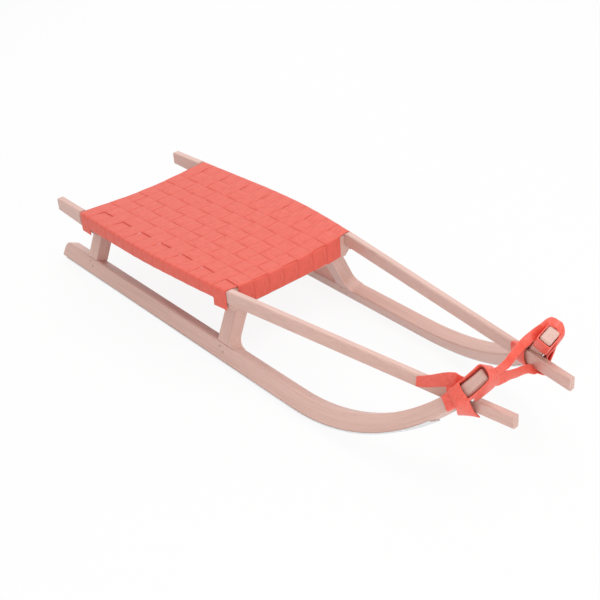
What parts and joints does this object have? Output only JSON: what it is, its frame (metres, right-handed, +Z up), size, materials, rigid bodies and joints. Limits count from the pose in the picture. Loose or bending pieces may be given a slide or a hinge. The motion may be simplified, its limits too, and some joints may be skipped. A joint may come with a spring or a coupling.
{
  "type": "snow sled",
  "caption": "Wooden snow sled with leaning bent runners, steel shoes, bowed rails on two trestles, a woven webbing seat and a strap from horn to horn.",
  "frame": {"origin": "middle of the sled's length and width, on the ground", "axes": "+X forward to the horns, +Y to the sled's left, +Z up"},
  "size_m": [1.172, 0.3418, 0.2211],
  "materials": {
    "wood": "clear satin varnish",
    "dowel": "end grain, varnished",
    "shoe_steel": "rolled strip",
    "webbing": "woven webbing, matte",
    "strap": "smooth, slightly glossy"
  },
  "bodies": {
    "root": {"front_beam": "wood", "rear_beam": "wood", "front_leg_left": "wood", "front_pins_left": "dowel", "rear_leg_left": "wood", "rear_pins_left": "dowel", "runner_left": "wood", "rail_left": "wood", "shoe_left": "shoe_steel", "lashing_left": "strap", "front_leg_right": "wood", "front_pins_right": "dowel", "rear_leg_right": "wood", "rear_pins_right": "dowel", "runner_right": "wood", "rail_right": "wood", "shoe_right": "shoe_steel", "lashing_right": "strap", "tow_strap": "strap", "cross_band_01": "webbing", "cross_band_02": "webbing", "cross_band_03": "webbing", "cross_band_04": "webbing", "cross_band_05": "webbing", "cross_band_06": "webbing", "cross_band_07": "webbing", "cross_band_08": "webbing", "cross_band_09": "webbing", "cross_band_10": "webbing", "cross_band_11": "webbing", "cross_band_12": "webbing", "cross_band_13": "webbing", "cross_band_14": "webbing", "long_band_1": "webbing", "long_band_2": "webbing", "long_band_3": "webbing", "long_band_4": "webbing", "long_band_5": "webbing", "long_band_6": "webbing", "long_band_7": "webbing"}
  },
  "joints": []
}
